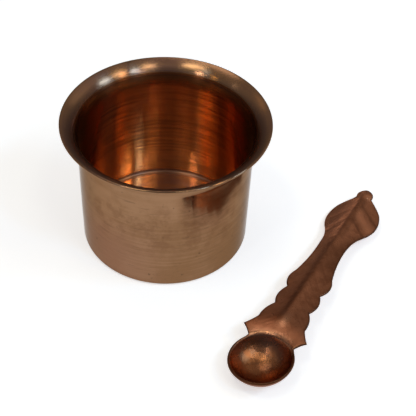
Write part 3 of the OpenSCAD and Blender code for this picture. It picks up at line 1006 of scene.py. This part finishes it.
def spoon_copper():
    material, tree, shader, place = new_copper("spoon_stamped_copper")
    edge, along, over, bowl, under = (read_mark(tree, name) for name in SPOON_MARKS)
    dulled = use_group(tree, TARNISH, place, Patch_Scale=80.0, Speck_Scale=1300.0)
    smudged = use_group(tree, TARNISH, place, Patch_Scale=330.0, Speck_Scale=2100.0)
    rubbed = use_group(tree, SCRATCHES, place, Scale=1.2)
    handle = all_but(tree, bowl)
    streaks = both(tree, pressed_streaks(tree, along, over), handle)
    film = sums(tree, "MULTIPLY", dulled["Patches"], FILM_CLOUDS)
    film = piled(tree, film, (smudged["Patches"], FILM_SMUDGES), (streaks, FILM_STREAKS))
    film = spread(tree, film, *SPOON_FILM_RANGE)
    copper = blended(tree, film, SPOON_COPPER, SPOON_BROWN)
    # Painted shade beside the ridge, to the left of it on the handle and to the right of it on the leaf
    leaf = spread(tree, along, *LEAF_RAMP)
    stem = both(tree, spread(tree, along, *STEM_RAMP), all_but(tree, leaf))
    beside = both(tree, band(tree, over, *RIDGE_SHADE), stem)
    beside = piled(tree, beside, (band(tree, over, *MIDRIB_SHADE), leaf))
    copper = tinted(tree, copper, beside, SHADE_SHARE, SPOON_DARK)
    # Painted shade in two dark veins that slant back over the right half of the leaf, with a field of
    # painted light between them
    slant = piled(tree, along, (sums(tree, "ABSOLUTE", over), VEIN_SLANT))
    right_half = both(tree, spread(tree, over, *LEAF_RIGHT), leaf)
    veins = sums(tree, "MAXIMUM", band(tree, slant, *VEIN1), band(tree, slant, *VEIN2))
    copper = tinted(tree, copper, both(tree, veins, right_half), VEIN_SHARE, SPOON_DARK)
    field = both(tree, band(tree, slant, *VEIN_FIELD), right_half)
    copper = tinted(tree, copper, field, FIELD_SHARE, SPOON_PAINTED_LIGHT)
    # Paler on the left of the handle and on the bud, painted light, and on the right ear; browner right of
    # the neck
    ear = both(tree, band(tree, along, *EAR_BAND), spread(tree, over, *EAR_RIGHT))
    bud = band(tree, along, *BUD_BAND)
    paler = sums(tree, "MULTIPLY", spread(tree, over, *HANDLE_LEFT), LEFT_SHARE)
    paler = sums(tree, "MAXIMUM", paler, sums(tree, "MULTIPLY", bud, BUD_SHARE))
    paler = sums(tree, "MAXIMUM", paler, sums(tree, "MULTIPLY", ear, EAR_SHARE))
    copper = blended(tree, both(tree, paler, handle), copper, SPOON_PAINTED_LIGHT)
    neck = both(tree, band(tree, along, *NECK_BAND), spread(tree, over, *NECK_RIGHT))
    copper = tinted(tree, copper, neck, NECK_SHARE, SPOON_DARK)
    # Painted shade: browner in the bowl and darker on its wall
    out = sums(tree, "SQRT", piled(tree, sums(tree, "MULTIPLY", over, over), (along, along)))
    wall = both(tree, spread(tree, out, *BOWL_SIDE), bowl)
    copper = tinted(tree, copper, bowl, BOWL_SHARE, BOWL_SHADE_BROWN)
    copper = tinted(tree, copper, wall, BOWL_SHARE, BOWL_WALL_SHADE)
    # Painted reflection golden brown up the bowl's left wall, a painted highlight right of its middle, and
    # dark on the underside
    golden = both(tree, band(tree, over, *GOLDEN_BAND), bowl)
    copper = tinted(tree, copper, golden, BOWL_SHARE, BOWL_GOLDEN_REFLECTION)
    bowl_highlight_spot = both(tree, band(tree, over, *SPOT_OVER), band(tree, along, *SPOT_ALONG))
    copper = tinted(tree, copper, both(tree, bowl_highlight_spot, bowl), BOWL_SHARE, SPOON_PAINTED_HIGHLIGHT)
    copper = tinted(tree, copper, under, UNDER_SHARE, SPOON_DARK)
    # Painted highlights where the sheet bends over from the bowl and where the ridge starts
    crown = both(tree, band(tree, out, *CROWN_BAND), spread(tree, along, *CROWN_SIDE))
    ridge_start_highlight = both(tree, band(tree, along, *RIDGE_START_ALONG), band(tree, over, *RIDGE_START_OVER))
    bright = sums(tree, "MAXIMUM", sums(tree, "MULTIPLY", crown, CROWN_SHARE), ridge_start_highlight)
    bright = both(tree, bright, all_but(tree, under))
    copper = tinted(tree, copper, bright, BRIGHT_SHARE, SPOON_PAINTED_HIGHLIGHT)
    copper = tinted(tree, copper, rubbed["Scratches"], WORN_SHARE, SPOON_WORN)
    specks = both(tree, dulled["Specks"], sums(tree, "SUBTRACT", SPOON_SPECKS, bright))
    copper = blended(tree, sums(tree, "MAXIMUM", specks, 0.0), copper, SPECK_BROWN)
    copper = tinted(tree, copper, edge, EDGE_SHARE, SPOON_EDGE)
    feed(tree, shader.inputs["Base Color"], copper)
    shader.inputs["Specular Tint"].default_value = SPOON_GRAZED
    rough = piled(
        tree,
        SPOON_ROUGH,
        (film, SPOON_ROUGH_FILM),
        (dulled["Grain"], ROUGH_GRAIN),
        (bowl, ROUGH_BOWL),
        (bright, ROUGH_BRIGHT),
    )
    feed(tree, shader.inputs["Roughness"], rough)
    dents = both(tree, noise(tree, place, DENT_SCALE, 2.0, 0.5), bowl)
    height = piled(
        tree,
        dulled["Grain"],
        (rubbed["Scratches"], SPOON_SCRATCH),
        (streaks, STREAK_DEPTH),
        (smudged["Patches"], SMUDGE_DEPTH),
        (dents, DENT_DEPTH),
    )
    height = both(tree, height, piled(tree, 1.0, (bright, BRIGHT_CALM)))
    feed(tree, shader.inputs["Normal"], bump(tree, height, *SPOON_BUMP))
    return material


spun_cup = build_cup()
spun_cup.data.materials.append(cup_copper())
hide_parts("cup")
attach(spun_cup, "cup")

stamped_spoon = build_spoon()
stamped_spoon.data.materials.append(spoon_copper())
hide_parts("spoon")
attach(stamped_spoon, "spoon")

# Studio: pale floor, soft lamps all round and a dim room that is brighter high up behind the object
FLOOR_R = 6.0
FLOOR_SIDES = 96
FLOOR_PALE = (0.91, 0.86, 0.82, 1.0)
FLOOR_WHITE = 0.57
# The room's dim light behind the object and in front of it, and where one goes over into the other
ROOM_BACK = (0.25, 0.25, 0.25, 1.0)
ROOM_FRONT = (0.080, 0.088, 0.125, 1.0)
ROOM_LEAN = 0.8
ROOM_TURN = (-0.6, 0.6)
ROOM_RISE = (0.18, 0.58)


def build_floor():
    mesh = bpy.data.meshes.new("table")
    turns = np.linspace(0, 2 * math.pi, FLOOR_SIDES + 1)[:-1]
    ring = [(FLOOR_R * math.cos(a), FLOOR_R * math.sin(a), 0.0) for a in turns]
    mesh.from_pydata(ring, [], [tuple(range(FLOOR_SIDES))])
    table = bpy.data.objects.new("table", mesh)
    bpy.context.scene.collection.objects.link(table)
    material = bpy.data.materials.new("table_white")
    material.use_nodes = True
    tree = material.node_tree
    tree.nodes.clear()
    lit = add(tree, "ShaderNodeBsdfDiffuse")
    lit.inputs["Color"].default_value = FLOOR_PALE
    white = add(tree, "ShaderNodeEmission")
    light = add(tree, "ShaderNodeLightPath")
    seen = sums(tree, "ADD", light.outputs["Is Camera Ray"], light.outputs["Is Glossy Ray"])
    seen = sums(tree, "ADD", seen, light.outputs["Is Transmission Ray"])
    seen = sums(tree, "MULTIPLY", sums(tree, "MINIMUM", seen, 1.0), FLOOR_WHITE)
    tree.links.new(seen, white.inputs["Strength"])
    mixed = add(tree, "ShaderNodeAddShader")
    tree.links.new(lit.outputs[0], mixed.inputs[0])
    tree.links.new(white.outputs[0], mixed.inputs[1])
    out = add(tree, "ShaderNodeOutputMaterial")
    tree.links.new(mixed.outputs[0], out.inputs[0])
    mesh.materials.append(material)


# How far off the lamps stand. They are oval, so they are made larger to keep the area of a square lamp
LAMP_FAR = 1.0
LAMP_ROUND = 1.12
LAMP_WHITE = (1.0, 0.98, 0.96)
LAMP_COOL = (0.84, 0.90, 1.0)
LAMP_TUBE = (0.94, 1.0, 0.84)
LAMP_BLUE = (0.32, 0.60, 1.0)
LAMP_WARM = (1.0, 0.78, 0.45)
LAMP_YELLOW = (1.0, 0.74, 0.28)
# Lamps: degrees to the right of the viewer, height in degrees, width, height, power, colour
LAMPS = (
    ("front_softbox", 0.0, 71.0, 0.40, 0.30, 0.09, LAMP_COOL),
    ("right_window", 86.0, 41.0, 0.22, 0.14, 1.40, LAMP_BLUE),
    ("right_lamp", 71.0, 52.0, 0.20, 0.16, 0.52, LAMP_TUBE),
    ("side_window", 61.0, 45.0, 0.11, 0.14, 0.44, LAMP_WARM),
    ("narrow_window", 46.0, 52.0, 0.10, 0.15, 1.00, LAMP_BLUE),
    ("front_right_lamp", 30.0, 65.0, 0.18, 0.14, 0.55, LAMP_TUBE),
    ("front_right_window", 33.0, 44.5, 0.16, 0.08, 0.24, LAMP_COOL),
    ("ceiling_lamp", -60.0, 72.0, 0.26, 0.13, 0.80, LAMP_TUBE),
    ("ceiling_softbox", -154.0, 65.0, 0.42, 0.24, 0.43, LAMP_WHITE),
    ("left_panel", -62.0, 57.0, 0.12, 0.10, 0.16, LAMP_BLUE),
    ("left_lamp", -64.0, 42.0, 0.08, 0.06, 0.09, LAMP_YELLOW),
    ("left_side_lamp", -96.0, 40.0, 0.05, 0.08, 0.034, LAMP_COOL),
    ("front_left_window", -45.0, 44.5, 0.12, 0.08, 0.44, LAMP_WHITE),
    ("back_left_panel", -141.0, 39.0, 0.16, 0.20, 0.038, LAMP_WARM),
    ("right_panel", 128.0, 44.0, 0.44, 0.44, 0.12, LAMP_WHITE),
)
LAMP_AIM = Vector((0.01, -0.02, 0.03))


def build_lamps():
    for name, right, up, width, height, power, colour in LAMPS:
        light = bpy.data.lights.new(name, "AREA")
        light.shape = "ELLIPSE"
        light.size = width * LAMP_ROUND
        light.size_y = height * LAMP_ROUND
        light.energy = power
        light.color = colour
        lamp = bpy.data.objects.new(name, light)
        turn = math.radians(right)
        rise = math.radians(up)
        level = math.cos(rise)
        way = Vector((math.sin(turn) * level, -math.cos(turn) * level, math.sin(rise)))
        lamp.location = LAMP_AIM + way * LAMP_FAR
        lamp.rotation_mode = "QUATERNION"
        lamp.rotation_quaternion = (-way).to_track_quat("-Z", "Y")
        bpy.context.scene.collection.objects.link(lamp)


def build_surround():
    world = bpy.data.worlds.new("dim_room")
    world.use_nodes = True
    tree = world.node_tree
    way = add(tree, "ShaderNodeSeparateXYZ")
    tree.links.new(add(tree, "ShaderNodeTexCoord").outputs["Generated"], way.inputs[0])
    behind = piled(tree, way.outputs["Y"], (way.outputs["Z"], ROOM_LEAN))
    high = spread(tree, way.outputs["Z"], *ROOM_RISE)
    back = both(tree, spread(tree, behind, *ROOM_TURN), high)
    room = blended(tree, back, ROOM_FRONT, ROOM_BACK)
    tree.links.new(room, tree.nodes["Background"].inputs["Color"])
    bpy.context.scene.world = world


# Camera at the photograph's angle: where it stands, the point of the table it looks at and its tilt
CAMERA_AT = Vector((0.0, -0.2730, 0.2763))
CAMERA_AIM = Vector((0.0171, 0.00987, 0.0))
CAMERA_TILT = math.radians(3.0085)
SENSOR_W = 36.0
LENS_L = 85.26
NEAR_CLIP = 0.01


def build_camera():
    lens = bpy.data.cameras.new("viewer")
    lens.sensor_width = SENSOR_W
    lens.lens = LENS_L
    lens.clip_start = NEAR_CLIP
    viewer = bpy.data.objects.new("viewer", lens)
    viewer.location = CAMERA_AT
    viewer.rotation_mode = "QUATERNION"
    ahead = (CAMERA_AIM - CAMERA_AT).to_track_quat("-Z", "Y")
    viewer.rotation_quaternion = ahead @ Quaternion((0.0, 0.0, 1.0), CAMERA_TILT)
    bpy.context.scene.collection.objects.link(viewer)
    bpy.context.scene.camera = viewer


build_floor()
build_lamps()
build_surround()
build_camera()
bpy.context.scene.view_settings.view_transform = "Standard"
